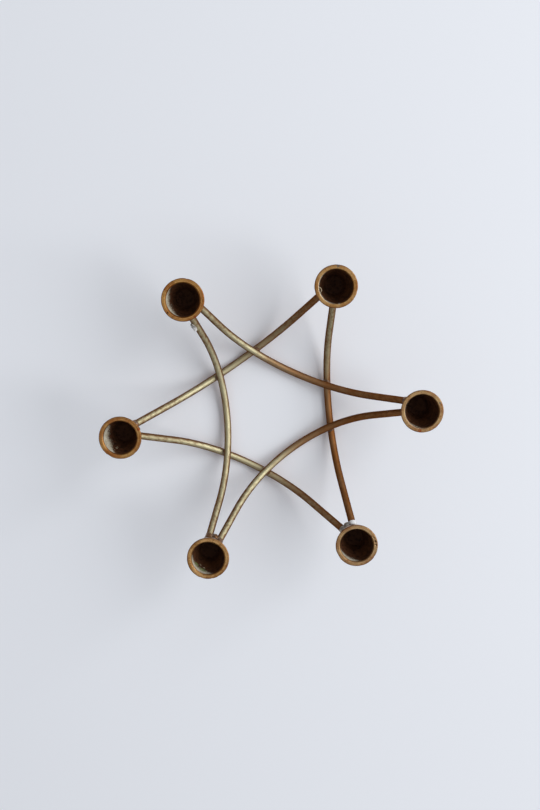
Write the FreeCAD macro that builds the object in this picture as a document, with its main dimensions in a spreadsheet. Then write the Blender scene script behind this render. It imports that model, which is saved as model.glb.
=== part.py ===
"""Tabletop candelabra: six tapered brass candle cups on two nested triangles of bent brass rod.

Each rod joins a cup to the next but one, so the six rods make a six-pointed star. The upper triangle
(cups 1, 3 and 5) lies on the lower one (cups 2, 4 and 6) and is silver-soldered to it at the six
crossings. The middles of the three lower rods are the feet.

Frame: millimetres, +Z up. The origin is on the table, under the centre of the star. Cup 1 is on +X and
the cups are numbered anticlockwise.
"""

import FreeCAD, Part
import math
import os
import Sketcher

Vector = FreeCAD.Vector

CUP_COUNT = 6
CUP_STEP = 360 / CUP_COUNT  # degrees from one cup to the next
CUPS = range(1, CUP_COUNT + 1)
RODS = {"upper": ((1, 3), (3, 5), (5, 1)), "lower": ((2, 4), (4, 6), (6, 2))}
CHORD_TURN = 90  # degrees from the middle of a rod, seen from the centre, to the direction it runs in
SAME = 1e-6  # millimetres: lengths this close are taken as equal

SIZES = {
    # the cups
    "overall_height": 74.0,  # table to rim
    "pitch_radius": 100.0,  # centre of the star to the axis of a cup
    "rim_radius": 14.3,
    "cup_height": 34.0,  # flat underside of a cup to its rim
    "base_radius": 6.6,
    "base_round": 1.0,
    "rim_round": 0.5,
    # the socket in each cup: a straight seat for the candle, then a taper to a flat floor
    "bore_radius": 11.0,
    "seat_depth": 10.0,
    "bore_depth": 25.0,
    "floor_radius": 6.2,
    "lip_chamfer": 0.7,
    # the rods; a joint is the point where the axis of a rod crosses the line between its two cups
    "rod_radius": 2.5,
    "joint_radius": 7.4,  # axis of a cup to a joint
    "rod_overrun": 6.0,  # bar past the joint before the end is coped to the cup
    "upper_joint_rise": 5.0,  # underside of a cup to the joint
    "lower_joint_rise": 3.4,
    "upper_bow": 18.4,  # how far the middle of a rod stands in from the line between its two cups
    "lower_bow": 8.2,
    "upper_bend_share": 0.895,  # bend radius over that of the one arc through both joints and the middle
    "lower_bend_share": 0.855,
    # the silver solder
    "braze_gap": 0.1,  # between two rods where they cross
    "bead_radius": 3.2,  # at a crossing
    "collar_spread": 0.9,  # round a rod, where it meets a cup
    "collar_edge": 0.2,  # round a rod, where the collar ends
    "collar_length": 2.0,  # along a rod, out from its joint
    "web_radius": 2.6,  # between the two rods of a cup
}
WORKED_OUT = ("upper_middle_height", "crossing_out", "crossing_aside", "crossing_height")

doc = FreeCAD.newDocument("candelabra")
sheet = doc.addObject("Spreadsheet::Sheet", "Sizes")


def set_size(name, value):
    """Write one size as a plain number beside its name."""
    row = (list(SIZES) + list(WORKED_OUT)).index(name) + 1
    sheet.set(f"A{row}", name)
    sheet.set(f"B{row}", f"{value:.6f}")
    sheet.setAlias(f"B{row}", name)


def size(name):
    return float(sheet.get(name))


# ---------------------------------------------------------------- frames, as text for expressions


def moved(x="0", y="0", z="0"):
    return f"create(<<placement>>; create(<<vector>>; {x}; {y}; {z}); create(<<rotation>>; 0; 0; 0))"


def turned(axis, angle):
    """A turn about X, Y or Z."""
    x, y, z = (1 if axis == letter else 0 for letter in "XYZ")
    turn = f"create(<<rotation>>; create(<<vector>>; {x}; {y}; {z}); {angle})"
    return f"create(<<placement>>; create(<<vector>>; 0; 0; 0); {turn})"


def place(thing, *frames):
    """Put a thing in the last of a chain of frames, each set in the one before it."""
    thing.setExpression("Placement", " * ".join(frames))


CUP_BASE_HEIGHT = "(Sizes.overall_height - Sizes.cup_height)"


def cup_angle(cup):
    """Degrees round from +X to a cup."""
    return (cup - 1) * CUP_STEP


def middle_angle(first, second):
    """Degrees round from +X to the middle of the rod between two cups."""
    return cup_angle(first) + (second - first) % CUP_COUNT * CUP_STEP / 2


def cup_frame(cup):
    """On the axis of a cup at its underside, with +X pointing away from the centre."""
    return turned("Z", cup_angle(cup)), moved(x="Sizes.pitch_radius", z=CUP_BASE_HEIGHT)


def rod_frame(tier, first, second):
    """Halfway between the joints of a rod: +X along the line between them, -Z in the plane of the rod."""
    about_z = turned("Z", middle_angle(first, second) + CHORD_TURN)
    out = moved(
        y=f"-Sizes.pitch_radius * cos({CUP_STEP} deg)",
        z=f"{CUP_BASE_HEIGHT} + Sizes.{tier}_joint_rise",
    )
    return about_z, out, turned("X", f"atan2(Sizes.{tier}_bow; {drop_text(tier)})")


def drop_text(tier):
    """How far a rod comes down from its joints to its middle."""
    middle = "Sizes.rod_radius" if tier == "lower" else "Sizes.upper_middle_height"
    return f"({CUP_BASE_HEIGHT} + Sizes.{tier}_joint_rise - {middle})"


def half_span_text():
    return f"(Sizes.pitch_radius * sin({CUP_STEP} deg) - Sizes.joint_radius)"


def depth_text(tier):
    """The middle of a rod below the line between its joints, in the plane of the rod."""
    return f"hypot({drop_text(tier)}; Sizes.{tier}_bow)"


def bend_text(tier):
    """The radius of the bend. A share below one leaves a straight leg at each end of the rod."""
    depth = depth_text(tier)
    return f"(Sizes.{tier}_bend_share * ({half_span_text()} ^ 2 + {depth} ^ 2) / (2 * {depth}))"


def slope_text(tier):
    """The angle at which a leg goes down, so that it runs into the bend without a kink."""
    bend = bend_text(tier)
    rise = f"({bend} - {depth_text(tier)})"
    half_span = half_span_text()
    return f"(asin({bend} / hypot({half_span}; {rise})) - atan2({rise}; {half_span}))"


# ---------------------------------------------------------------- sketches


def new_sketch(body, name):
    """A sketch on the XZ plane of a body."""
    sketch = body.newObject("Sketcher::SketchObject", name)
    plane = next(feature for feature in body.Origin.OriginFeatures if feature.Role == "XZ_Plane")
    sketch.AttachmentSupport = (plane, [""])
    sketch.MapMode = "FlatFace"
    return sketch


def dimension(sketch, kind, where, name, expression):
    """Add a dimension to a sketch and tie it to the sheet."""
    sketch.renameConstraint(sketch.addConstraint(Sketcher.Constraint(kind, *where)), name)
    sketch.setExpression(f"Constraints.{name}", expression)


ORIGIN_POINT = (-1, 1)
X_AXIS = -1
Y_AXIS = -2


# ---------------------------------------------------------------- cups


def cup_outline(body, name):
    """Half the section of a cup, right of its axis. Each corner is named and dimensioned from the origin."""
    base_height = 0
    rim_height = size("cup_height")
    floor_height = rim_height - size("bore_depth")
    corners = {
        "axis_bottom": (0, base_height),
        "base": (size("base_radius"), base_height),
        "rim": (size("rim_radius"), rim_height),
        "lip": (size("bore_radius") + size("lip_chamfer"), rim_height),
        "mouth": (size("bore_radius"), rim_height - size("lip_chamfer")),
        "seat_end": (size("bore_radius"), rim_height - size("seat_depth")),
        "floor": (size("floor_radius"), floor_height),
        "axis_floor": (0, floor_height),
    }
    expressions = {
        "base": ("Sizes.base_radius", None),
        "rim": ("Sizes.rim_radius", "Sizes.cup_height"),
        "lip": ("Sizes.bore_radius + Sizes.lip_chamfer", "Sizes.cup_height"),
        "mouth": ("Sizes.bore_radius", "Sizes.cup_height - Sizes.lip_chamfer"),
        "seat_end": ("Sizes.bore_radius", "Sizes.cup_height - Sizes.seat_depth"),
        "floor": ("Sizes.floor_radius", "Sizes.cup_height - Sizes.bore_depth"),
        "axis_floor": (None, "Sizes.cup_height - Sizes.bore_depth"),
    }
    sketch = new_sketch(body, name)
    names = list(corners)
    points = [Vector(*corners[corner], 0) for corner in names]
    for start, end in zip(points, points[1:] + points[:1]):
        sketch.addGeometry(Part.LineSegment(start, end), False)
    for line in range(len(names)):
        sketch.addConstraint(Sketcher.Constraint("Coincident", line, 2, (line + 1) % len(names), 1))
    sketch.addConstraint(Sketcher.Constraint("Coincident", 0, 1, *ORIGIN_POINT))
    for line, corner in enumerate(names[1:], start=1):
        across, up = expressions[corner]
        if across is None:
            sketch.addConstraint(Sketcher.Constraint("PointOnObject", line, 1, Y_AXIS))
        else:
            where = (*ORIGIN_POINT, line, 1, points[line].x)
            dimension(sketch, "DistanceX", where, f"{corner}_across", across)
        if up is None:
            sketch.addConstraint(Sketcher.Constraint("PointOnObject", line, 1, X_AXIS))
        else:
            where = (*ORIGIN_POINT, line, 1, points[line].y)
            dimension(sketch, "DistanceY", where, f"{corner}_up", up)
    return sketch


def edge_at(shape, radius, height):
    """The name of the round edge with this radius at this height."""
    for number, edge in enumerate(shape.Edges, start=1):
        curve = edge.Curve
        if curve.TypeId == "Part::GeomCircle" and math.isclose(curve.Radius, radius, abs_tol=SAME):
            if math.isclose(curve.Center.z, height, abs_tol=SAME):
                return f"Edge{number}"
    raise ValueError(f"no round edge of radius {radius} at height {height}")


def rounded(body, name, radius, height, rounding):
    """Round one turned edge of a body."""
    base = body.Tip
    fillet = body.newObject("PartDesign::Fillet", name)
    fillet.Base = (base, [edge_at(base.Shape, radius, height)])
    fillet.setExpression("Radius", f"Sizes.{rounding}")
    body.Tip = fillet
    doc.recompute()


def make_cup(cup):
    """One turned cup: a tapered body with its socket bored from the top."""
    label = f"candle_cup_{cup}"
    body = doc.addObject("PartDesign::Body", label)
    outline = cup_outline(body, f"{label}_outline")
    turning = body.newObject("PartDesign::Revolution", f"{label}_turning")
    turning.Profile = outline
    turning.ReferenceAxis = (outline, ["V_Axis"])
    turning.Angle = 360
    body.Tip = turning
    doc.recompute()
    rounded(body, f"{label}_base_round", size("base_radius"), 0, "base_round")
    rounded(body, f"{label}_rim_round", size("rim_radius"), size("cup_height"), "rim_round")
    place(body, *cup_frame(cup))
    return body


def make_envelope(cup):
    """The outside of a cup without its socket, for coping the rods and the solder."""
    cone = doc.addObject("Part::Cone", f"outside_of_cup_{cup}")
    cone.setExpression("Radius1", "Sizes.base_radius")
    cone.setExpression("Radius2", "Sizes.rim_radius")
    cone.setExpression("Height", "Sizes.cup_height")
    place(cone, *cup_frame(cup))
    return cone


# ---------------------------------------------------------------- rods


def rod_figures(tier, middle_height):
    """Half span, drop, depth, bend radius and slope (radians) of a rod whose middle is at a given height."""
    half_span = size("pitch_radius") * math.sin(math.radians(CUP_STEP)) - size("joint_radius")
    drop = size("overall_height") - size("cup_height") + size(f"{tier}_joint_rise") - middle_height
    depth = math.hypot(drop, size(f"{tier}_bow"))
    bend = size(f"{tier}_bend_share") * (half_span**2 + depth**2) / (2 * depth)
    rise = bend - depth
    slope = math.asin(bend / math.hypot(half_span, rise)) - math.atan2(rise, half_span)
    return half_span, drop, depth, bend, slope


def middle_height(tier):
    return size("rod_radius") if tier == "lower" else size("upper_middle_height")


def centre_line_sketch(body, name, tier):
    """Leg, bend, leg: the centre line of a rod, with its joints on the X axis of the sketch."""
    half_span, _, depth, bend, slope = rod_figures(tier, middle_height(tier))
    overrun = size("rod_overrun")
    centre = Vector(0, bend - depth, 0)
    bend_end = centre + Vector(math.sin(slope), -math.cos(slope), 0) * bend
    joint = Vector(half_span, 0, 0)
    end = joint + Vector(math.cos(slope), math.sin(slope), 0) * overrun

    def mirrored(point):
        return Vector(-point.x, point.y, 0)

    sketch = new_sketch(body, name)
    circle = Part.Circle(centre, Vector(0, 0, 1), bend)
    arc = Part.ArcOfCircle(circle, 1.5 * math.pi - slope, 1.5 * math.pi + slope)
    left_leg = sketch.addGeometry(Part.LineSegment(mirrored(end), mirrored(bend_end)), False)
    bent = sketch.addGeometry(arc, False)
    right_leg = sketch.addGeometry(Part.LineSegment(bend_end, end), False)
    left_joint = sketch.addGeometry(Part.Point(mirrored(joint)), True)
    middle = sketch.addGeometry(Part.Point(Vector(0, -depth, 0)), True)
    for constraint in (
        ("Tangent", left_leg, 2, bent, 1),
        ("Tangent", bent, 2, right_leg, 1),
        ("Symmetric", left_leg, 1, right_leg, 2, Y_AXIS),
        ("PointOnObject", bent, 3, Y_AXIS),
        ("PointOnObject", left_joint, 1, X_AXIS),
        ("PointOnObject", left_joint, 1, left_leg),
        ("PointOnObject", middle, 1, Y_AXIS),
        ("PointOnObject", middle, 1, bent),
    ):
        sketch.addConstraint(Sketcher.Constraint(*constraint))
    dimension(sketch, "Radius", (bent, bend), "bend_radius", bend_text(tier))
    past_joint = (left_leg, 1, left_joint, 1, overrun)
    dimension(sketch, "Distance", past_joint, "overrun", "Sizes.rod_overrun")
    joint_to_middle = (left_joint, 1, *ORIGIN_POINT, half_span)
    dimension(sketch, "DistanceX", joint_to_middle, "half_span", half_span_text())
    dimension(sketch, "DistanceY", (middle, 1, *ORIGIN_POINT, depth), "depth", depth_text(tier))
    return sketch


def make_bar(tier, first, second):
    """The bent bar that one rod is coped from."""
    name = f"{tier}_bar_{first}_{second}"
    body = doc.addObject("PartDesign::Body", name)
    centre_line = centre_line_sketch(body, f"{name}_centre_line", tier)
    doc.recompute()
    section = body.newObject("Sketcher::SketchObject", f"{name}_section")
    section.AttachmentSupport = [(centre_line, "Edge1"), (centre_line, "Vertex1")]
    section.MapMode = "NormalToEdge"
    radius = size("rod_radius")
    circle = section.addGeometry(Part.Circle(Vector(0, 0, 0), Vector(0, 0, 1), radius), False)
    section.addConstraint(Sketcher.Constraint("Coincident", circle, 3, *ORIGIN_POINT))
    dimension(section, "Radius", (circle, radius), "radius", "Sizes.rod_radius")
    pipe = body.newObject("PartDesign::AdditivePipe", f"{name}_bent")
    pipe.Profile = section
    pipe.Spine = centre_line
    body.Tip = pipe
    place(body, *rod_frame(tier, first, second))
    return body


def fused(name, shapes):
    fusion = doc.addObject("Part::MultiFuse", name)
    fusion.Shapes = shapes
    return fusion


def cut(name, base, tool):
    """A named piece: the base without the tool."""
    piece = doc.addObject("Part::Cut", name)
    piece.Base = base
    piece.Tool = tool
    return piece


# ---------------------------------------------------------------- nesting the triangles


def centre_line_wire(tier, height, first, second):
    """The centre line of a rod whose middle is at a given height, in the candelabra's frame."""
    half_span, drop, depth, bend, slope = rod_figures(tier, height)
    bend_end = Vector(bend * math.sin(slope), 0, bend - depth - bend * math.cos(slope))
    bend_start = Vector(-bend_end.x, 0, bend_end.z)
    lines = (
        Part.LineSegment(Vector(-half_span, 0, 0), bend_start),
        Part.Arc(bend_start, Vector(0, 0, -depth), bend_end),
        Part.LineSegment(bend_end, Vector(half_span, 0, 0)),
    )
    wire = Part.Wire([line.toShape() for line in lines])
    tilt = math.degrees(math.atan2(size(f"{tier}_bow"), drop))
    chord_distance = size("pitch_radius") * math.cos(math.radians(CUP_STEP))
    about_z = FreeCAD.Rotation(Vector(0, 0, 1), middle_angle(first, second) + CHORD_TURN)
    about_x = FreeCAD.Rotation(Vector(1, 0, 0), tilt)
    position = about_z.multVec(Vector(0, -chord_distance, height + drop))
    wire.Placement = FreeCAD.Placement(position, about_z * about_x)
    return wire


def nest_triangles():
    """Set the upper triangle down on the lower one, and note where two rods cross."""
    upper_rod, lower_rod = (1, 3), (6, 2)
    lower = centre_line_wire("lower", size("rod_radius"), *lower_rod)
    wanted = 2 * size("rod_radius") + size("braze_gap")
    too_low = size("rod_radius")
    too_high = size("overall_height") - size("cup_height")
    while too_high - too_low > SAME:
        height = (too_low + too_high) / 2
        distance, nearest, _ = centre_line_wire("upper", height, *upper_rod).distToShape(lower)
        if distance < wanted:
            too_low = height
        else:
            too_high = height
    on_upper, on_lower = nearest[0]
    to_rod = FreeCAD.Rotation(Vector(0, 0, 1), -middle_angle(*upper_rod))
    crossing = to_rod.multVec((on_upper + on_lower) / 2)
    set_size("upper_middle_height", height)
    set_size("crossing_out", crossing.x)
    set_size("crossing_aside", abs(crossing.y))
    set_size("crossing_height", crossing.z)
    doc.recompute()


# ---------------------------------------------------------------- silver solder


def make_collar(tier, first, second, end):
    """The fillet of solder round one end of a rod: -1 at its first cup, +1 at its second."""
    collar = doc.addObject("Part::Cone", "collar")
    collar.setExpression("Radius1", "Sizes.rod_radius + Sizes.collar_spread")
    collar.setExpression("Radius2", "Sizes.rod_radius + Sizes.collar_edge")
    collar.setExpression("Height", "Sizes.collar_length + Sizes.rod_radius")
    at_joint = moved(x=f"{end} * {half_span_text()}")
    facing_middle = turned("Y", f"{-end} * (90 deg + {slope_text(tier)})")
    back_into_cup = moved(z="-Sizes.rod_radius")
    place(collar, *rod_frame(tier, first, second), at_joint, facing_middle, back_into_cup)
    return collar


def make_web(tier, cup):
    """Solder that has run between the two rods of a cup, against its side."""
    web = doc.addObject("Part::Sphere", "web")
    web.setExpression("Radius", "Sizes.web_radius")
    wall_slope = "(Sizes.rim_radius - Sizes.base_radius) / Sizes.cup_height"
    wall_radius = f"Sizes.base_radius + Sizes.{tier}_joint_rise * {wall_slope}"
    place(web, *cup_frame(cup), moved(x=f"-({wall_radius})", z=f"Sizes.{tier}_joint_rise"))
    return web


def make_bead(number, upper_rod, side):
    """Solder in the crotch of two rods where they cross: side is -1 or +1 along the upper rod."""
    bead = doc.addObject("Part::Sphere", f"bead_{number}")
    bead.setExpression("Radius", "Sizes.bead_radius")
    spot = moved("Sizes.crossing_out", f"{side} * Sizes.crossing_aside", "Sizes.crossing_height")
    place(bead, turned("Z", middle_angle(*upper_rod)), spot)
    return bead


# ---------------------------------------------------------------- the candelabra


def build():
    """Make every piece and return them in order."""
    for name, value in SIZES.items():
        set_size(name, value)
    for name in WORKED_OUT:
        set_size(name, 0)
    doc.recompute()
    nest_triangles()
    cups = {cup: make_cup(cup) for cup in CUPS}
    envelopes = {cup: make_envelope(cup) for cup in CUPS}
    bars = {}
    rods = {}
    solder = []
    for tier, pairs in RODS.items():
        for first, second in pairs:
            bar = make_bar(tier, first, second)
            ends = fused(f"ends_of_rod_{first}_{second}", [envelopes[first], envelopes[second]])
            bars[first, second] = bar
            rods[first, second] = cut(f"{tier}_rod_{first}_{second}", bar, ends)
    for tier, pairs in RODS.items():
        for arriving, leaving in zip(pairs, pairs[1:] + pairs[:1]):
            cup = leaving[0]
            collars = [make_collar(tier, *arriving, 1), make_collar(tier, *leaving, -1)]
            solid = fused(f"run_solder_{cup}", [*collars, make_web(tier, cup)])
            taken = fused(f"taken_from_solder_{cup}", [envelopes[cup], bars[arriving], bars[leaving]])
            solder.append(cut(f"cup_solder_{cup}", solid, taken))
    number = 0
    for upper_rod in RODS["upper"]:
        for side in (-1, 1):
            number += 1
            under_angle = (middle_angle(*upper_rod) + side * CUP_STEP) % 360
            lower_rod = next(pair for pair in RODS["lower"] if middle_angle(*pair) % 360 == under_angle)
            taken = fused(f"taken_from_bead_{number}", [bars[upper_rod], bars[lower_rod]])
            bead = make_bead(number, upper_rod, side)
            solder.append(cut(f"crossing_solder_{number}", bead, taken))
    doc.recompute()
    return [*cups.values(), *rods.values(), *solder]


def check(pieces):
    """Stop if any object of the document failed, or a piece isn't one good solid."""
    for thing in doc.Objects:
        if "Invalid" in thing.State or "Error" in thing.State:
            raise RuntimeError(f"{thing.Name} failed: {thing.State}")
    for piece in pieces:
        shape = piece.Shape
        if shape.isNull() or not shape.isValid() or len(shape.Solids) != 1:
            raise RuntimeError(f"{piece.Label} is not one good solid")


def write(pieces):
    os.makedirs("parts", exist_ok=True)
    for piece in pieces:
        piece.Shape.exportStep(f"parts/{piece.Label}.step")


candelabra = build()
check(candelabra)
write(candelabra)
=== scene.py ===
"""The looks of the tabletop candelabra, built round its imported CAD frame.

Lengths are in metres in the CAD frame: +Z up, origin on the table under the centre of the star, +X towards
cup 1, and the cups numbered anticlockwise from above. The cups are lathed again, with tool marks, dents,
pits and a darkened bore. The rods and the solder are dense copies of their CAD solids, with the unevenness
of handwork. The added pieces are a run of solder on one rod, and old wax in three of the cups.
"""

import math
import random
from collections import namedtuple
from types import SimpleNamespace

import bmesh
import bpy
import numpy as np
from mathutils import Matrix, Vector, noise
from mathutils.bvhtree import BVHTree


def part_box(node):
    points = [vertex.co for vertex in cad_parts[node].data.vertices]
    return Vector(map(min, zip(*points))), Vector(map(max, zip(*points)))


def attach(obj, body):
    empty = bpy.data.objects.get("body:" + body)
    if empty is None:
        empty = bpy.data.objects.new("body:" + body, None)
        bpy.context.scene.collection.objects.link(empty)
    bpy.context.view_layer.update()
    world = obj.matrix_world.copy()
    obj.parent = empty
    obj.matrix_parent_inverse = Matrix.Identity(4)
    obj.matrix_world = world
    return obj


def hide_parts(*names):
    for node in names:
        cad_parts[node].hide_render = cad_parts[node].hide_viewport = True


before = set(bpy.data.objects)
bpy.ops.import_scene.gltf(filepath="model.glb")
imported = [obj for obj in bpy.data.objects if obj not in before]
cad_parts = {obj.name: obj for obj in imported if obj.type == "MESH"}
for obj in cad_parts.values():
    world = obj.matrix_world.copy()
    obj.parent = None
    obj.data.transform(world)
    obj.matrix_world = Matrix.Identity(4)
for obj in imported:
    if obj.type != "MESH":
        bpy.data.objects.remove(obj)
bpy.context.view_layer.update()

MM = 0.001

# ---------------------------------------------------------------- sizes repeated from the part

CUP_HEIGHT = 34 * MM
RIM_RADIUS = 14.3 * MM
BASE_RADIUS = 6.6 * MM
BASE_ROUND = 1.0 * MM
RIM_ROUND = 0.5 * MM
BORE_RADIUS = 11 * MM
SEAT_DEPTH = 10 * MM
BORE_DEPTH = 25 * MM
FLOOR_RADIUS = 6.2 * MM
LIP_CHAMFER = 0.7 * MM
LIP_RADIUS = BORE_RADIUS + LIP_CHAMFER
CUP_SPACING = 60  # degrees from one cup to the next, round the star

# Each rod, and the cup at whose end it is palest. The name gives the two cups that it joins.
RODS = {
    "upper_rod_1_3": 3,
    "upper_rod_3_5": 3,
    "upper_rod_5_1": 5,
    "lower_rod_2_4": 4,
    "lower_rod_4_6": 4,
    "lower_rod_6_2": 2,
}

# ---------------------------------------------------------------- places


def polar(angle, away, height=0.0):
    """The point at an angle in degrees round +Z, at a distance from that axis and at a height."""
    turn = math.radians(angle)
    return Vector((away * math.cos(turn), away * math.sin(turn), height))


def middle(node):
    """The middle of a CAD node's box."""
    lowest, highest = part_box(node)
    return (lowest + highest) / 2


def mouth(cup):
    """The point on a cup's axis that is level with its rim."""
    lowest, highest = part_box(f"candle_cup_{cup}")
    return Vector(((lowest.x + highest.x) / 2, (lowest.y + highest.y) / 2, highest.z))


# ---------------------------------------------------------------- camera and light

CAMERA_PLACE = Vector((5.8, 111.5, 807.0)) * MM
CAMERA_TURN = Vector((-7.66, 0.08, -5.03))  # degrees about this direction, from looking straight down
LENS = 50
SENSOR = 36


def make_camera():
    """The photo's view, from nearly overhead."""
    data = bpy.data.cameras.new("camera")
    data.lens = LENS
    data.sensor_width = SENSOR
    data.clip_start = 0.01
    data.clip_end = 50
    camera = bpy.data.objects.new("camera", data)
    bpy.context.scene.collection.objects.link(camera)
    turn = Matrix.Rotation(math.radians(CAMERA_TURN.length), 4, CAMERA_TURN.normalized())
    camera.matrix_world = Matrix.Translation(CAMERA_PLACE) @ turn
    bpy.context.scene.camera = camera


def make_area_light(name, azimuth, elevation, distance, size, power, colour):
    """A soft box that faces the origin. Its azimuth is from +X towards +Y."""
    data = bpy.data.lights.new(name, "AREA")
    data.shape = "RECTANGLE"
    data.size, data.size_y = size
    data.energy = power
    data.color = colour
    light = bpy.data.objects.new(name, data)
    bpy.context.scene.collection.objects.link(light)
    up = math.radians(elevation)
    away = polar(azimuth, math.cos(up), math.sin(up))
    facing = away.to_track_quat("Z", "Y").to_matrix().to_4x4()
    light.matrix_world = Matrix.Translation(away * distance) @ facing


# ---------------------------------------------------------------- node graphs

BUMP_REACH = 0.1 * MM


class Graph:
    """A node tree, with short calls for the nodes that the finishes use."""

    def __init__(self, tree):
        self.tree = tree
        tree.nodes.clear()

    def node(self, kind, inputs=(), **settings):
        """A node with its settings, and its inputs as values or as the outputs that feed them."""
        made = self.tree.nodes.new(kind)
        for name, value in settings.items():
            setattr(made, name, value)
        for name, value in dict(inputs).items():
            self.feed(made.inputs[name], value)
        return made

    def feed(self, socket, value):
        if isinstance(value, bpy.types.NodeSocket):
            self.tree.links.new(value, socket)
        else:
            socket.default_value = value

    def math(self, operation, first, second=0.0, clamp=False):
        made = self.node("ShaderNodeMath", {0: first, 1: second}, operation=operation, use_clamp=clamp)
        return made.outputs[0]

    def plus(self, first, second):
        return self.math("ADD", first, second)

    def minus(self, first, second):
        return self.math("SUBTRACT", first, second)

    def times(self, first, second, clamp=False):
        return self.math("MULTIPLY", first, second, clamp)

    def vector_math(self, operation, output, *vectors):
        made = self.node("ShaderNodeVectorMath", dict(enumerate(vectors)), operation=operation)
        return made.outputs[output]

    def coordinate(self, vector, axis):
        return self.node("ShaderNodeSeparateXYZ", {"Vector": vector}).outputs[axis]

    def step(self, value, low, high, low_out=0.0, high_out=1.0):
        """A smooth step of a value from one output to another."""
        inputs = {"Value": value, "From Min": low, "From Max": high, "To Min": low_out, "To Max": high_out}
        return self.node("ShaderNodeMapRange", inputs, interpolation_type="SMOOTHSTEP").outputs["Result"]

    def noise(self, place, scale, detail, roughness, distortion=0.0):
        inputs = {"Vector": place, "Scale": scale, "Detail": detail}
        inputs.update({"Roughness": roughness, "Distortion": distortion})
        return self.node("ShaderNodeTexNoise", inputs).outputs["Fac"]

    def mix(self, factor, first, second):
        """Two colours mixed."""
        made = self.node("ShaderNodeMix", data_type="RGBA", blend_type="MIX")
        for socket, value in ((made.inputs[0], factor), (made.inputs[6], first), (made.inputs[7], second)):
            self.feed(socket, value)
        return made.outputs[2]

    def attribute(self, name):
        return self.node("ShaderNodeAttribute", attribute_name=name).outputs["Fac"]

    def place(self):
        """The point on the surface, in the piece's own coordinates."""
        return self.node("ShaderNodeTexCoord").outputs["Object"]

    def upward(self):
        """How far the surface faces up: 1 on top, 0 on an upright side and -1 underneath."""
        return self.coordinate(self.node("ShaderNodeNewGeometry").outputs["Normal"], "Z")

    def near(self, place, spot, reach):
        """One at a spot, falling to nothing at its reach."""
        away = self.vector_math("DISTANCE", "Value", place, spot)
        return self.step(away, 0.4 * reach, reach, 1.0, 0.0)

    def bump(self, height, strength, distance=BUMP_REACH):
        inputs = {"Height": height, "Strength": strength, "Distance": distance}
        return self.node("ShaderNodeBump", inputs).outputs["Normal"]

    def output(self, surface):
        self.node("ShaderNodeOutputMaterial", {"Surface": surface.outputs[0]})

    def principled(self, inputs):
        """Ends the graph in one surface with these inputs."""
        self.output(self.node("ShaderNodeBsdfPrincipled", inputs))


def rgb(red, green, blue):
    """A linear colour from the eight-bit values a screen shows."""

    def linear(value):
        value /= 255
        return value / 12.92 if value <= 0.04045 else ((value + 0.055) / 1.055) ** 2.4

    return (linear(red), linear(green), linear(blue), 1.0)


def new_material(name):
    material = bpy.data.materials.new(name)
    material.use_nodes = True
    return material, Graph(material.node_tree)


# ---------------------------------------------------------------- rod finish

ROD_BRIGHT = rgb(195, 187, 152)
ROD_DARK = rgb(146, 93, 48)
ROD_WARM = rgb(196, 146, 98)  # mixed in towards +X
ROD_STAIN = rgb(118, 80, 42)
ROD_LINE = rgb(96, 62, 30)
ROD_SPECK = rgb(66, 40, 20)
ROD_SCORCH = rgb(110, 72, 42)
ROD_SIDE_SHADE = rgb(120, 76, 42)  # painted shade on the sides
ROD_UNDERSIDE = rgb(200, 142, 90)  # underneath, where the brass is still clean
ROD_GLANCE = (0.32, 0.20, 0.11, 1.0)  # what the brass reflects at a glancing angle
PALEST_REACH = 105 * MM


def rod_material(name, seed, run, palest_end):
    """Drawn brass rod with a brown patina streaked along it, browner towards +X, palest near one cup, and
    darkened on its sides with painted shade.

    run is the rod's direction seen from above, in degrees, and palest_end is where it is the palest.
    """
    material, g = new_material(name)
    place = g.place()

    def along_rod(stretch):
        """Coordinates that stretch a texture along the rod."""
        inputs = {
            "Vector": place,
            "Location": (seed, seed * 0.37, 0),
            "Rotation": (0, 0, math.radians(run)),
            "Scale": (stretch, 1, 1),
        }
        return g.node("ShaderNodeMapping", inputs, vector_type="TEXTURE").outputs["Vector"]

    streaked = along_rod(5)
    patches = g.noise(streaked, scale=90, detail=3, roughness=0.5, distortion=0.3)
    stains = g.noise(streaked, scale=520, detail=4, roughness=0.6)
    drawn = g.noise(along_rod(25), scale=3600, detail=3, roughness=0.6)
    specks = g.noise(place, scale=1700, detail=4, roughness=0.65)
    across = g.coordinate(place, "X")
    upward = g.upward()

    browned = g.plus(g.times(patches, 0.7), g.step(across, -0.08, 0.09, -0.35, 0.35))
    browned = g.minus(browned, g.times(g.near(place, palest_end, PALEST_REACH), 0.42))
    colour = g.mix(g.step(browned, 0.0, 0.72), ROD_BRIGHT, ROD_DARK)
    colour = g.mix(g.step(across, 0.045, 0.085, 0, 0.45), colour, ROD_WARM)
    colour = g.mix(g.step(stains, 0.50, 0.75, 0, 0.38), colour, ROD_STAIN)
    colour = g.mix(g.step(drawn, 0.52, 0.72, 0, 0.35), colour, ROD_LINE)
    colour = g.mix(g.step(specks, 0.62, 0.75, 0, 0.4), colour, ROD_SPECK)
    scorched = g.times(g.attribute("heat"), g.step(stains, 0.3, 0.6, 0.1, 0.8), clamp=True)
    colour = g.mix(scorched, colour, ROD_SCORCH)
    # Painted shade: the sides of the rod are darkened, and only its top keeps the colour mixed so far.
    unshaded_top = g.step(g.plus(upward, g.step(stains, 0.3, 0.7, 0.10, -0.10)), 0.46, 0.90)
    colour = g.mix(unshaded_top, g.mix(0.88, colour, ROD_SIDE_SHADE), colour)
    colour = g.mix(g.step(upward, -0.4, -0.75), colour, ROD_UNDERSIDE)

    height = g.plus(g.times(drawn, 0.5), g.times(stains, 0.8))
    g.principled({
        "Base Color": colour,
        "Metallic": g.step(stains, 0.5, 0.75, 1.0, 0.8),
        "Specular Tint": ROD_GLANCE,
        "Roughness": g.plus(g.step(specks, 0.35, 0.7, 0.0, 0.08), g.step(stains, 0.3, 0.7, 0.53, 0.60)),
        "Normal": g.bump(height, 0.13),
    })
    return material


# ---------------------------------------------------------------- cup finish

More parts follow.
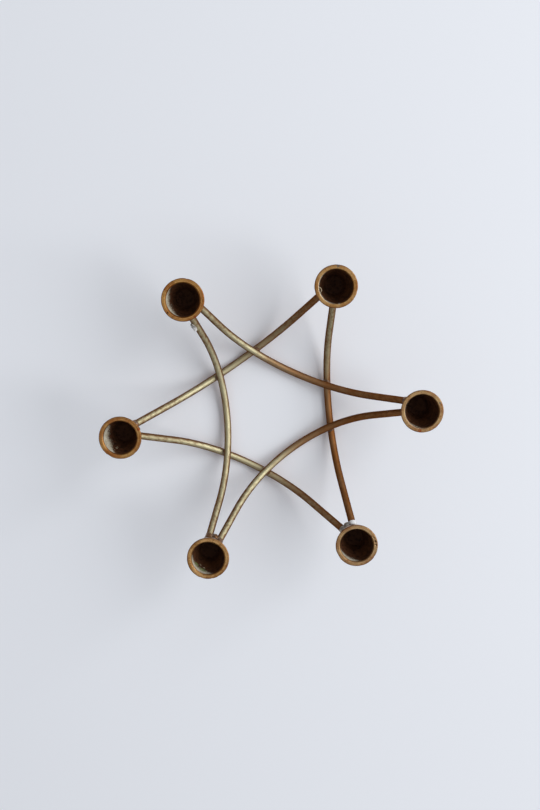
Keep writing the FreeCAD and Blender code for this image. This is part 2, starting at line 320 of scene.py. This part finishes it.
RING_PALE = rgb(216, 176, 112)
RING_DARK = rgb(116, 72, 34)
RIM_STAIN = rgb(128, 74, 34)
WALL_PALE = rgb(158, 116, 66)
WALL_DARK = rgb(118, 78, 42)
WALL_STAIN = rgb(84, 52, 28)
WALL_RING = rgb(190, 150, 92)
CUP_SPECK = rgb(70, 40, 20)
GROOVE_BROWN = rgb(112, 66, 32)
EDGE_BROWN = rgb(104, 60, 32)
CHAMFER_SHADE = rgb(112, 68, 36)
SOOT_AND_SHADE = rgb(86, 52, 31)
SOOT_AND_SHADE_DARK = rgb(46, 28, 18)
SOOT_AND_SHADE_WARM = rgb(96, 58, 28)
SOOT_AND_DEEP_SHADE = rgb(44, 25, 15)
FILM_PALE = rgb(222, 216, 198)
FILM_DULL = rgb(172, 160, 134)
LIP_HIGHLIGHT = rgb(226, 214, 190)
RUST = rgb(150, 66, 34)
GREY_FLUX = rgb(96, 96, 92)
DARK_SPOT = rgb(48, 32, 22)
VERDIGRIS = rgb(126, 146, 92)
CANDLE_WAX = rgb(226, 220, 204)

GROOVE_RADIUS = 12.9 * MM  # a fine tool mark that runs round each rim
CHAMFER_FADE = 0.15 * MM
BORE_STARTS = 1  # a mark that is more millimetres than this below the rim belongs to the bore alone

# A cup's lighter and darker brass; the angle of the side that its pale film is on, the side the window
# lights, so that the film is painted light, and about how far down that reaches, as a share of the bore;
# how strong the painted highlight on its lip is on that side; and its marks.
CupFinish = namedtuple("CupFinish", "light dark film_side film_depth waxed_lip marks")

# A coloured mark: its angle round the cup, its distance from the axis, its depth below the rim and its
# reach, in degrees and millimetres. pit is the reach of the pit that goes with it, where there is one.
Mark = namedtuple("Mark", "angle away below reach tint pit", defaults=(0,))

CUP_FINISHES = {
    1: CupFinish(
        light=rgb(204, 170, 120),
        dark=rgb(164, 124, 87),
        film_side=206,
        film_depth=0.24,
        waxed_lip=0.4,
        marks=(
            Mark(258, 12.8, 0, 1.6, RUST),
            Mark(21, 12.9, 0, 1.0, GREY_FLUX),
            Mark(312, 13.7, 0, 0.8, RUST),
        ),
    ),
    2: CupFinish(
        light=rgb(214, 171, 111),
        dark=rgb(176, 126, 71),
        film_side=192,
        film_depth=0.42,
        waxed_lip=1.0,
        marks=(
            Mark(275, 11.2, 0.4, 1.0, CANDLE_WAX),
            Mark(80, 13.4, 0, 1.4, GREY_FLUX),
        ),
    ),
    3: CupFinish(
        light=rgb(219, 167, 97),
        dark=rgb(183, 117, 61),
        film_side=190,
        film_depth=0.52,
        waxed_lip=0.0,
        marks=(
            Mark(215, 12.9, 0, 0.9, DARK_SPOT, pit=0.5),
            Mark(300, 13.7, 0, 1.4, RUST),
        ),
    ),
    4: CupFinish(
        light=rgb(204, 157, 94),
        dark=rgb(175, 112, 60),
        film_side=182,
        film_depth=0.58,
        waxed_lip=0.0,
        marks=(
            Mark(20, 13.2, 0, 1.3, RUST),
            Mark(150, 9.5, 9, 2.6, DARK_SPOT),
        ),
    ),
    5: CupFinish(
        light=rgb(226, 179, 118),
        dark=rgb(184, 138, 82),
        film_side=218,
        film_depth=0.36,
        waxed_lip=0.0,
        marks=(
            Mark(242, 10.2, 8, 3.6, VERDIGRIS),
            Mark(215, 10.2, 10, 2.6, VERDIGRIS),
            Mark(332, 13.8, 0, 1.1, RUST),
        ),
    ),
    6: CupFinish(
        light=rgb(208, 173, 125),
        dark=rgb(168, 127, 89),
        film_side=218,
        film_depth=0.34,
        waxed_lip=0.0,
        marks=(
            Mark(8, 12.7, 0, 1.3, DARK_SPOT, pit=0.8),
            Mark(357, 12.9, 0, 1.1, DARK_SPOT, pit=0.7),
            Mark(21, 12.4, 0, 1.0, DARK_SPOT, pit=0.6),
        ),
    ),
}


def cup_textures(g, seed):
    """The places and noises that every part of a cup's finish draws on."""
    place = g.place()
    shift = {"Vector": place, "Location": (seed, seed * 0.61, 0)}
    shifted = g.node("ShaderNodeMapping", shift).outputs["Vector"]
    split = g.node("ShaderNodeSeparateXYZ", {"Vector": place}).outputs
    flat = g.node("ShaderNodeCombineXYZ", {"X": split["X"], "Y": split["Y"]}).outputs["Vector"]
    radius = g.vector_math("LENGTH", "Value", flat)
    turned = g.node("ShaderNodeCombineXYZ", {"X": radius, "Y": split["Z"], "Z": seed}).outputs["Vector"]
    return SimpleNamespace(
        place=place,
        radius=radius,
        outward=g.vector_math("NORMALIZE", "Vector", flat),
        level=g.step(g.upward(), 0.3, 0.75),
        rings=g.noise(turned, scale=1500, detail=4, roughness=0.7),
        patches=g.noise(shifted, scale=90, detail=4, roughness=0.55, distortion=0.3),
        stains=g.noise(shifted, scale=420, detail=5, roughness=0.62),
        specks=g.noise(shifted, scale=1900, detail=4, roughness=0.6),
        inside=g.attribute("inside"),
        depth=g.attribute("depth"),
        edge=g.attribute("edge"),
    )


def turned_brass(g, cup, light, dark):
    """The colour of the rim and the outside: fine rings round the axis under a brown patina."""
    rim = g.mix(g.step(cup.patches, 0.38, 0.64), light, dark)
    rim = g.mix(g.times(g.step(cup.rings, 0.50, 0.62, 0, 0.75), cup.level), rim, RING_PALE)
    rim = g.mix(g.times(g.step(cup.rings, 0.49, 0.38, 0, 0.75), cup.level), rim, RING_DARK)
    rim = g.mix(g.step(cup.stains, 0.50, 0.70, 0, 0.7), rim, RIM_STAIN)
    wall = g.mix(g.step(cup.patches, 0.35, 0.65), WALL_PALE, WALL_DARK)
    wall = g.mix(g.step(cup.stains, 0.52, 0.74, 0, 0.6), wall, WALL_STAIN)
    wall = g.mix(g.step(cup.rings, 0.55, 0.68, 0, 0.25), wall, WALL_RING)
    colour = g.mix(cup.level, wall, rim)
    colour = g.mix(g.step(cup.specks, 0.62, 0.74, 0, 0.7), colour, CUP_SPECK)
    off_groove = g.math("ABSOLUTE", g.minus(cup.radius, GROOVE_RADIUS))
    groove = g.step(off_groove, 0.32 * MM, 0.08 * MM, 0, 0.35)
    colour = g.mix(g.times(groove, cup.level), colour, GROOVE_BROWN)
    return g.mix(g.times(cup.edge, g.step(cup.stains, 0.3, 0.55, 0.55, 1.0)), colour, EDGE_BROWN)


def sooty_shaded_bore(g, cup, towards_lit_side, film_depth):
    """The colour of the bore: soot that is also painted shade, darker towards the floor, and on one side,
    the side the window lights, a pale film that is painted light, ragged at its lower edge.
    """
    # Painted shade: these soot colours also stand in for the shade in the bore, and the deepest part is
    # darkened most.
    soot = g.mix(g.step(cup.stains, 0.4, 0.7), SOOT_AND_SHADE, SOOT_AND_SHADE_DARK)
    soot = g.mix(g.step(cup.patches, 0.5, 0.7, 0, 0.5), soot, SOOT_AND_SHADE_WARM)
    soot = g.mix(g.step(cup.depth, 0.55, 1.0, 0, 0.4), soot, SOOT_AND_DEEP_SHADE)
    film = g.mix(g.step(cup.stains, 0.35, 0.65), FILM_PALE, FILM_DULL)
    # Painted light: the pale film reaches down only on the side that the window lights.
    film_end = g.step(towards_lit_side, 0.05, 0.95, -0.3, film_depth)
    ragged = g.plus(g.step(cup.stains, 0.3, 0.7, -0.08, 0.08), g.step(cup.specks, 0.3, 0.7, -0.09, 0.09))
    above_end = g.minus(g.plus(film_end, ragged), cup.depth)
    return g.mix(g.step(above_end, -0.08, 0.14), soot, film)


def lip_shade_and_highlight(g, cup, colour, towards_lit_side, waxed_lip):
    """The chamfer of the lip, darkened all round with painted shade, and given a painted highlight on the
    side of the film.

    Known fault: on_chamfer isn't limited to surfaces that face up, as cup.level would do. So the painted
    shade and the painted highlight also lie on the lower part of the outside wall, where the cup is
    narrower than its lip.
    """
    within_lip = g.step(cup.radius, LIP_RADIUS, LIP_RADIUS - CHAMFER_FADE)
    on_chamfer = g.times(within_lip, g.minus(1.0, cup.inside))
    # Painted shade: the chamfer, which the window lights, is browned all round.
    colour = g.mix(g.times(on_chamfer, 0.45), colour, CHAMFER_SHADE)
    # Painted highlight: the chamfer is made pale on the side that the window lights.
    highlit = g.step(towards_lit_side, 0.2, 0.7, 0, 0.99 * waxed_lip)
    return g.mix(g.times(highlit, on_chamfer), colour, LIP_HIGHLIGHT)


def add_marks(g, cup, colour, marks):
    """The colour with each mark laid over it, broken up by the specks."""
    for mark in marks:
        spot = polar(mark.angle, mark.away * MM, CUP_HEIGHT - mark.below * MM)
        share = g.times(g.near(cup.place, spot, mark.reach * MM), g.step(cup.specks, 0.35, 0.6, 0.4, 1.0))
        if mark.below > BORE_STARTS:
            share = g.times(share, cup.inside)
        colour = g.mix(share, colour, mark.tint)
    return colour


def cup_material(name, seed, finish):
    """Turned brass with a brown patina, and a bore dark with soot that is partly painted shade, with a pale
    film on its lit side that is painted light.
    """
    material, g = new_material(name)
    cup = cup_textures(g, seed)
    towards_lit_side = g.vector_math("DOT_PRODUCT", "Value", cup.outward, polar(finish.film_side, 1))
    brass = turned_brass(g, cup, finish.light, finish.dark)
    colour = g.mix(cup.inside, brass, sooty_shaded_bore(g, cup, towards_lit_side, finish.film_depth))
    colour = lip_shade_and_highlight(g, cup, colour, towards_lit_side, finish.waxed_lip)
    colour = add_marks(g, cup, colour, finish.marks)
    height = g.plus(g.times(cup.rings, 0.9), g.times(cup.stains, 0.5))
    g.principled({
        "Base Color": colour,
        "Metallic": g.minus(1.0, cup.inside),
        "Specular IOR Level": 0.15,
        "Roughness": g.plus(g.step(cup.stains, 0.3, 0.7, 0.26, 0.42), g.times(cup.inside, 0.4)),
        "Normal": g.bump(height, 0.35),
    })
    return material


# ---------------------------------------------------------------- solder, wax and table finishes

SOLDER_PALE = rgb(178, 176, 170)
SOLDER_OXIDE = rgb(120, 108, 92)
SOLDER_FLUX = rgb(122, 84, 52)
SOLDER_SPECK = rgb(76, 56, 38)
SOLDER_PAINTED_HIGHLIGHT = rgb(236, 236, 234)
PAINTED_HIGHLIGHT_REACH = 5.5 * MM
WAX_CREAM = rgb(190, 176, 148)
WAX_BROWN = rgb(122, 98, 64)
WAX_SOOT = rgb(70, 50, 32)
TABLE_WHITE = rgb(232, 234, 238)
BACKDROP = rgb(222, 225, 231)


def solder_material(name, tarnish, highlight_spot=None):
    """Silver solder: pale grey, dulled with oxide and brown flux, and near white round its highlight spot,
    a painted highlight.
    """
    material, g = new_material(name)
    place = g.place()
    patches = g.noise(place, scale=330, detail=4, roughness=0.55, distortion=0.2)
    specks = g.noise(place, scale=1700, detail=4, roughness=0.6)
    colour = g.mix(g.step(patches, 0.42, 0.62), SOLDER_PALE, SOLDER_OXIDE)
    colour = g.mix(g.step(patches, 0.62, 0.40, tarnish, 0.75 * tarnish), colour, SOLDER_FLUX)
    colour = g.mix(g.step(specks, 0.55, 0.7, 0, 0.6), colour, SOLDER_SPECK)
    metallic = 0.9
    if highlight_spot is not None:
        # Painted highlight: near white, with little metal, round that spot.
        painted_highlight = g.near(place, highlight_spot, PAINTED_HIGHLIGHT_REACH)
        colour = g.mix(painted_highlight, colour, SOLDER_PAINTED_HIGHLIGHT)
        metallic = g.step(painted_highlight, 0.0, 1.0, metallic, 0.2)
    g.principled({
        "Base Color": colour,
        "Metallic": metallic,
        "Roughness": g.step(patches, 0.35, 0.65, 0.3, 0.5),
        "Normal": g.bump(patches, 0.4, 2 * BUMP_REACH),
    })
    return material


def wax_material():
    """Old candle wax: cloudy, cream to brown, with soot in it."""
    material, g = new_material("old_wax")
    place = g.place()
    cloud = g.noise(place, scale=700, detail=4, roughness=0.6)
    soot = g.noise(place, scale=2300, detail=3, roughness=0.6)
    colour = g.mix(g.step(cloud, 0.35, 0.65), WAX_CREAM, WAX_BROWN)
    colour = g.mix(g.step(soot, 0.50, 0.68, 0, 0.7), colour, WAX_SOOT)
    g.principled({
        "Base Color": colour,
        "Roughness": g.step(cloud, 0.3, 0.7, 0.35, 0.55),
        "Normal": g.bump(cloud, 0.3),
    })
    return material


def table_material():
    """A plain pale table top that fades into the backdrop beyond the light's reach."""
    material, g = new_material("plain_pale_table")
    away = g.vector_math("LENGTH", "Value", g.place())
    close = {"Base Color": TABLE_WHITE, "Roughness": 0.6, "Specular IOR Level": 0.3}
    lit = g.node("ShaderNodeBsdfPrincipled", close)
    faded = g.node("ShaderNodeEmission", {"Color": BACKDROP})
    fade = {0: g.step(away, 0.5, 1.8), 1: lit.outputs[0], 2: faded.outputs[0]}
    g.output(g.node("ShaderNodeMixShader", fade))
    return material


# ---------------------------------------------------------------- meshes


def link(name, mesh, material):
    """A smooth piece of one material, put in the scene."""
    piece = bpy.data.objects.new(name, mesh)
    bpy.context.scene.collection.objects.link(piece)
    mesh.materials.clear()
    mesh.materials.append(material)
    for polygon in mesh.polygons:
        polygon.use_smooth = True
    return piece


def mesh_from(built, name):
    mesh = bpy.data.meshes.new(name)
    built.to_mesh(mesh)
    built.free()
    return mesh


def set_attribute(mesh, name, values):
    attribute = mesh.attributes.new(name, "FLOAT", "POINT")
    attribute.data.foreach_set("value", np.asarray(values, np.float32))


def points_of(mesh):
    points = np.empty(len(mesh.vertices) * 3)
    mesh.vertices.foreach_get("co", points)
    return points.reshape(-1, 3)


def unevenness(place, smoothness, octaves):
    """Noise round zero, each octave twice as fine as the one before it."""
    return noise.fractal(place, smoothness, 2.0, octaves)


# ---------------------------------------------------------------- cups

SEGMENTS = 192
RIM_WEAR = 1.3 * MM  # how far the worn edge reaches from the rim
BASE_WEAR = 1.6 * MM
CUP_UNEVEN = 0.07 * MM
CUP_GRAIN = 0.02 * MM
DENT_INWARD = 0.8 * MM
DENT_DOWNWARD = 0.6 * MM


def round_corner(centre, radius, start, end, count):
    """Points on an arc in the profile, by angle in degrees from the radial direction."""
    angles = [math.radians(start + (end - start) * step / (count - 1)) for step in range(count)]
    return [(centre[0] + radius * math.cos(a), centre[1] + radius * math.sin(a)) for a in angles]


def straight(start, end, count):
    """Points after the start of a line, up to its end."""
    return [
        (start[0] + (end[0] - start[0]) * step / count, start[1] + (end[1] - start[1]) * step / count)
        for step in range(1, count + 1)
    ]


def cup_profile():
    """The half section of a cup, as rows of radius, height, inside, depth and edge.

    It runs from the middle of the underside up the side, over the rim and down to the floor of the bore.
    inside is 1 in the bore, depth goes from 0 at the rim to 1 at that floor, and edge is 1 at the two worn
    edges, at the rim and the foot.
    """
    slope = math.atan2(RIM_RADIUS - BASE_RADIUS, CUP_HEIGHT)
    lean = math.degrees(slope)
    base_inset = BASE_ROUND / math.cos(slope) - BASE_ROUND * math.tan(slope)
    rim_inset = RIM_ROUND / math.cos(slope) + RIM_ROUND * math.tan(slope)
    base_centre = (BASE_RADIUS - base_inset, BASE_ROUND)
    rim_centre = (RIM_RADIUS - rim_inset, CUP_HEIGHT - RIM_ROUND)
    rim_corner = round_corner(rim_centre, RIM_ROUND, -lean, 90, 8)
    lip_start = (LIP_RADIUS, CUP_HEIGHT)
    lip_end = (BORE_RADIUS, CUP_HEIGHT - LIP_CHAMFER)
    seat_end = (BORE_RADIUS, CUP_HEIGHT - SEAT_DEPTH)
    floor_edge = (FLOOR_RADIUS, CUP_HEIGHT - BORE_DEPTH)
    floor_middle = (0, CUP_HEIGHT - BORE_DEPTH)

    outline = straight((0, 0), (base_centre[0], 0), 8)
    outline += round_corner(base_centre, BASE_ROUND, -90, -lean, 7)
    outline += straight(outline[-1], rim_corner[0], 60)
    outline += rim_corner[1:]
    outline += straight(outline[-1], lip_start, 22)
    outline += straight(lip_start, lip_end, 5)
    bore_start = len(outline)
    outline += straight(lip_end, seat_end, 18)
    outline += straight(seat_end, floor_edge, 22)
    outline += straight(floor_edge, floor_middle, 10)[:-1]

    rows = []
    for index, (radius, height) in enumerate(outline):
        inside = 1.0 if index >= bore_start else 0.0
        depth = (CUP_HEIGHT - height) / BORE_DEPTH if inside else 0.0
        from_rim = math.hypot(radius - RIM_RADIUS, height - CUP_HEIGHT)
        from_base = math.hypot(radius - BASE_RADIUS, height)
        edge = max(0.0, 1 - from_rim / RIM_WEAR, 1 - from_base / BASE_WEAR)
        rows.append((radius, height, inside, depth, edge))
    return rows


def lathe(rows, bottom, floor, wobble):
    """A closed turned solid from a profile, with a point on the axis at each end."""
    built = bmesh.new()
    rings = []
    facts = [(0.0, 0.0, 0.0)]
    start = built.verts.new((0, 0, bottom))
    for radius, height, inside, depth, edge in rows:
        ring = []
        for segment in range(SEGMENTS):
            spot = polar(360 * segment / SEGMENTS, radius, height)
            ring.append(built.verts.new(spot + wobble(spot, inside, edge)))
            facts.append((inside, depth, edge))
        rings.append(ring)
    end = built.verts.new((0, 0, floor))
    facts.append((1.0, 1.0, 0.0))
    for segment in range(SEGMENTS):
        after = (segment + 1) % SEGMENTS
        built.faces.new((start, rings[0][after], rings[0][segment]))
        built.faces.new((end, rings[-1][segment], rings[-1][after]))
        for low, high in zip(rings, rings[1:]):
            built.faces.new((low[segment], low[after], high[after], high[segment]))
    mesh = mesh_from(built, "turned")
    for column, name in enumerate(("inside", "depth", "edge")):
        set_attribute(mesh, name, [row[column] for row in facts])
    return mesh


def make_cup(cup, material, marks):
    """A cup with small dents in its rim and side, and a pit at each mark that has one."""
    lowest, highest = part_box(f"candle_cup_{cup}")
    centre = (lowest + highest) / 2
    seed = Vector((17.3 * cup, 5.1, 0))
    pits = [(polar(mark.angle, mark.away * MM, CUP_HEIGHT), mark.pit * MM) for mark in marks if mark.pit]

    def wobble(spot, inside, edge):
        outward = Vector((spot.x, spot.y, 0)).normalized()
        pitted = sum(max(0.0, 1 - ((spot - place).length / reach) ** 2) * reach for place, reach in pits)
        uneven = abs(unevenness(spot * 160 + seed, 0.6, 3)) * CUP_UNEVEN
        grain = abs(unevenness(spot * 900 + seed, 0.6, 2)) * CUP_GRAIN
        dent = edge * max(0.0, noise.noise(spot * 330 + seed) - 0.28)
        inward = uneven + grain + dent * DENT_INWARD
        downward = dent * DENT_DOWNWARD + (1 - inside) * grain + 0.5 * pitted
        return outward * -inward - Vector((0, 0, downward))

    mesh = lathe(cup_profile(), 0.0, CUP_HEIGHT - BORE_DEPTH, wobble)
    piece = link(f"turned_cup_{cup}", mesh, material)
    piece.location = (centre.x, centre.y, lowest.z)
    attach(piece, "root")
    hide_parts(f"candle_cup_{cup}")


# ---------------------------------------------------------------- rods and solder

ROD_VOXEL = 0.42 * MM
ROD_HAMMERED = 0.022 * MM
ROD_DRAWN = 0.008 * MM
ROD_SUNK = 0.02 * MM  # keeps the uneven copy of a rod inside the box of the CAD
SOLDER_VOXEL = 0.22 * MM
SOLDER_LUMPS = 0.24 * MM
CUP_6_PAINTED_HIGHLIGHT = Vector((51.5, -75.5, 46)) * MM  # a painted highlight in the solder of cup 6
HEAT_REACH = 9 * MM  # how far along a rod the heat of the soldering left its mark


def worked_copy(node, voxel, work):
    """A dense copy of a CAD solid, each point moved along its normal by what work gives for it."""
    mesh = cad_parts[node].data.copy()
    draft = bpy.data.objects.new("draft", mesh)
    bpy.context.scene.collection.objects.link(draft)
    remesh = draft.modifiers.new("remesh", "REMESH")
    remesh.mode = "VOXEL"
    remesh.voxel_size = voxel
    smooth = draft.modifiers.new("smooth", "SMOOTH")
    smooth.factor = 0.5
    smooth.iterations = 3
    graph = bpy.context.evaluated_depsgraph_get()
    dense = bpy.data.meshes.new_from_object(draft.evaluated_get(graph))
    bpy.data.objects.remove(draft)
    normals = np.empty(len(dense.vertices) * 3)
    dense.vertex_normals.foreach_get("vector", normals)
    points = points_of(dense)
    moves = np.array([work(Vector(point)) for point in points])
    points += normals.reshape(-1, 3) * moves[:, None]
    dense.vertices.foreach_set("co", points.ravel())
    dense.update()
    dense.name = node
    return dense


def make_rod(node, number, joints, material):
    """A rod, slightly hammered, that knows how near its joints are."""
    seed = Vector((0, 3.7 * number, 0))

    def work(point):
        hammered = unevenness(point * 110 + seed, 0.7, 3) * ROD_HAMMERED
        drawn = unevenness(point * 700 + seed, 0.6, 2) * ROD_DRAWN
        return hammered + drawn - ROD_SUNK

    mesh = worked_copy(node, ROD_VOXEL, work)
    points = points_of(mesh)
    nearest = np.min([np.linalg.norm(points - np.array(joint), axis=1) for joint in joints], axis=0)
    set_attribute(mesh, "heat", np.clip(1 - nearest / HEAT_REACH, 0, 1))
    piece = link(f"bent_{node}", mesh, material)
    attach(piece, "root")
    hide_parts(node)


def make_solder(node, material):
    """A mass of solder, slightly lumpy."""

    def work(point):
        return unevenness(point * 330, 0.8, 2) * SOLDER_LUMPS

    mesh = worked_copy(node, SOLDER_VOXEL, work)
    piece = link(f"run_{node}", mesh, material)
    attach(piece, "root")
    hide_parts(node)


# ---------------------------------------------------------------- small added pieces

DRIP_BESIDE = Vector((-47.0, 66.5, 36.5)) * MM  # the run of solder is on the rod's side, next to this point
DRIP_DOWNHILL = Vector((0.31, -0.70, -0.65))
# A painted highlight on the run of solder.
DRIP_PAINTED_HIGHLIGHT = Vector((-46.5, 66, 33.5)) * MM
CURL_THICKNESS = 0.22 * MM


def small_lump(built, place, outward, along, size, seed):
    """Adds one uneven lump that lies on a surface, with its middle in the surface.

    size is its length, width and thickness.
    """
    size = Vector(size)
    outward = outward.normalized()
    along = (along - outward * along.dot(outward)).normalized()
    frame_of_lump = Matrix((along, outward.cross(along), outward)).transposed()
    lump = bmesh.ops.create_icosphere(built, subdivisions=4, radius=0.5)
    for vertex in lump["verts"]:
        swell = 1 + 0.35 * unevenness(vertex.co * 2.2 + Vector((seed, 0, 0)), 0.7, 3)
        vertex.co = place + frame_of_lump @ (vertex.co * size * swell)


def finish_lumps(built, name, material):
    piece = link(name, mesh_from(built, name), material)
    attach(piece, "root")


def make_solder_drip(material):
    """A run of solder that stayed on the side of a rod, a little way down from its cup."""
    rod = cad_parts["upper_rod_3_5"].data
    corners = [vertex.co for vertex in rod.vertices]
    faces = BVHTree.FromPolygons(corners, [face.vertices for face in rod.polygons])
    place, outward, _, _ = faces.find_nearest(DRIP_BESIDE)
    built = bmesh.new()
    upper = place + outward * 0.3 * MM
    lower = place + DRIP_DOWNHILL * 2.2 * MM
    small_lump(built, upper, outward, DRIP_DOWNHILL, (6.6 * MM, 3.6 * MM, 2.8 * MM), 3.0)
    small_lump(built, lower, outward, DRIP_DOWNHILL, (3.2 * MM, 2.8 * MM, 3.2 * MM), 8.0)
    finish_lumps(built, "solder_drip", material)


def bore_wall(cup, angle, below):
    """The point on a cup's bore wall at an angle and a depth, and the way from it to the axis."""
    tapering = max(0.0, (below - SEAT_DEPTH) / (BORE_DEPTH - SEAT_DEPTH))
    radius = BORE_RADIUS + (FLOOR_RADIUS - BORE_RADIUS) * tapering
    return mouth(cup) + polar(angle, radius, -below), -polar(angle, 1)


def make_wax_flecks(cup, angles, depths, count, material):
    """Crumbs of old wax stuck to the wall of a bore, between two angles and two depths in millimetres."""
    chance = random.Random(cup)
    built = bmesh.new()
    for number in range(count):
        angle = chance.uniform(*angles)
        place, inward = bore_wall(cup, angle, chance.uniform(*depths) * MM)
        length = chance.uniform(0.7, 2.0) * MM
        lean = Vector((chance.uniform(-1, 1), chance.uniform(-1, 1), chance.uniform(-1, 1)))
        small_lump(built, place, inward, lean, (length, 0.6 * length, 0.35 * length), 2.7 * number)
    finish_lumps(built, f"wax_flecks_{cup}", material)


def make_wax_curl(material):
    """A thin curl of wax left standing off the bore wall of cup 2."""
    curve = bpy.data.curves.new("wax_curl", "CURVE")
    curve.dimensions = "3D"
    curve.bevel_depth = CURL_THICKNESS
    curve.bevel_resolution = 4
    curve.use_fill_caps = True
    line = curve.splines.new("NURBS")
    turns = (  # angle round the cup, distance from its axis and depth below the rim, along the curl
        (178, 10.9, 3.2),
        (181, 10.0, 2.9),
        (186, 9.6, 2.6),
        (192, 9.7, 2.5),
        (196, 10.2, 2.8),
        (197, 10.9, 3.4),
    )
    line.points.add(len(turns) - 1)
    top = mouth(2)
    for point, (angle, away, below) in zip(line.points, turns):
        spot = top + polar(angle, away, -below) * MM
        point.co = (*spot, 1)
        point.radius = 0.6 + 0.05 * away
    line.order_u = 4
    line.use_endpoint_u = True
    piece = bpy.data.objects.new("wax_curl", curve)
    bpy.context.scene.collection.objects.link(piece)
    curve.materials.append(material)
    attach(piece, "root")


# ---------------------------------------------------------------- table and room

TABLE_HALF_SIZE = 40
ROOM_FAR_WALL = rgb(84, 82, 82)
ROOM_WINDOW_WALL = rgb(176, 178, 184)
CEILING_FAR = rgb(196, 197, 200)
CEILING_BY_WINDOW = rgb(212, 215, 222)
ROOM_STRENGTH = 0.84


def make_table():
    built = bmesh.new()
    bmesh.ops.create_grid(built, x_segments=2, y_segments=2, size=TABLE_HALF_SIZE)
    table = link("table", mesh_from(built, "table"), table_material())


def make_world():
    """A room that is brightest overhead and towards the window. The camera sees only the backdrop."""
    world = bpy.data.worlds.new("soft_room")
    bpy.context.scene.world = world
    world.use_nodes = True
    g = Graph(world.node_tree)
    direction = g.node("ShaderNodeTexCoord").outputs["Generated"]
    to_window = g.step(g.coordinate(direction, "X"), -0.7, 0.7)
    walls = g.mix(to_window, ROOM_FAR_WALL, ROOM_WINDOW_WALL)
    ceiling = g.mix(to_window, CEILING_FAR, CEILING_BY_WINDOW)
    room = g.mix(g.step(g.coordinate(direction, "Z"), 0.25, 0.85), walls, ceiling)
    seen = g.node("ShaderNodeLightPath").outputs["Is Camera Ray"]
    sky = {"Color": g.mix(seen, room, BACKDROP), "Strength": g.step(seen, 0, 1, ROOM_STRENGTH, 1.0)}
    background = g.node("ShaderNodeBackground", sky)
    g.node("ShaderNodeOutputWorld", {"Surface": background.outputs[0]})


# ---------------------------------------------------------------- the scene

make_camera()
make_world()
make_area_light(
    "window",
    azimuth=8,
    elevation=42,
    distance=3.0,
    size=(3.2, 2.2),
    power=86,
    colour=(0.97, 0.985, 1.0),
)
make_table()

bpy.context.scene.view_settings.view_transform = "Standard"

solder_nodes = sorted(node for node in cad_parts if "solder" in node)
joints = [middle(node) for node in solder_nodes]
for number, (rod, palest_cup) in enumerate(RODS.items()):
    first_cup = int(rod.split("_")[2])
    run = CUP_SPACING * first_cup + 90  # square to the line from the centre to the middle of the rod
    palest_end = middle(f"candle_cup_{palest_cup}")
    make_rod(rod, number, joints, rod_material(f"rod_brass_{number + 1}", 1.7 * number, run, palest_end))

for cup, finish in CUP_FINISHES.items():
    make_cup(cup, cup_material(f"cup_brass_{cup}", 2.3 * cup, finish), finish.marks)

browned_solder = solder_material("silver_solder_browned", 0.9)
grey_solder = solder_material("silver_solder_grey", 0.15, CUP_6_PAINTED_HIGHLIGHT)
for node in solder_nodes:
    make_solder(node, grey_solder if node == "cup_solder_6" else browned_solder)
make_solder_drip(solder_material("silver_solder_bright", 0.0, DRIP_PAINTED_HIGHLIGHT))

wax = wax_material()
make_wax_curl(wax)
make_wax_flecks(4, angles=(150, 250), depths=(9, 16), count=9, material=wax)
make_wax_flecks(5, angles=(215, 265), depths=(6, 14), count=5, material=wax)
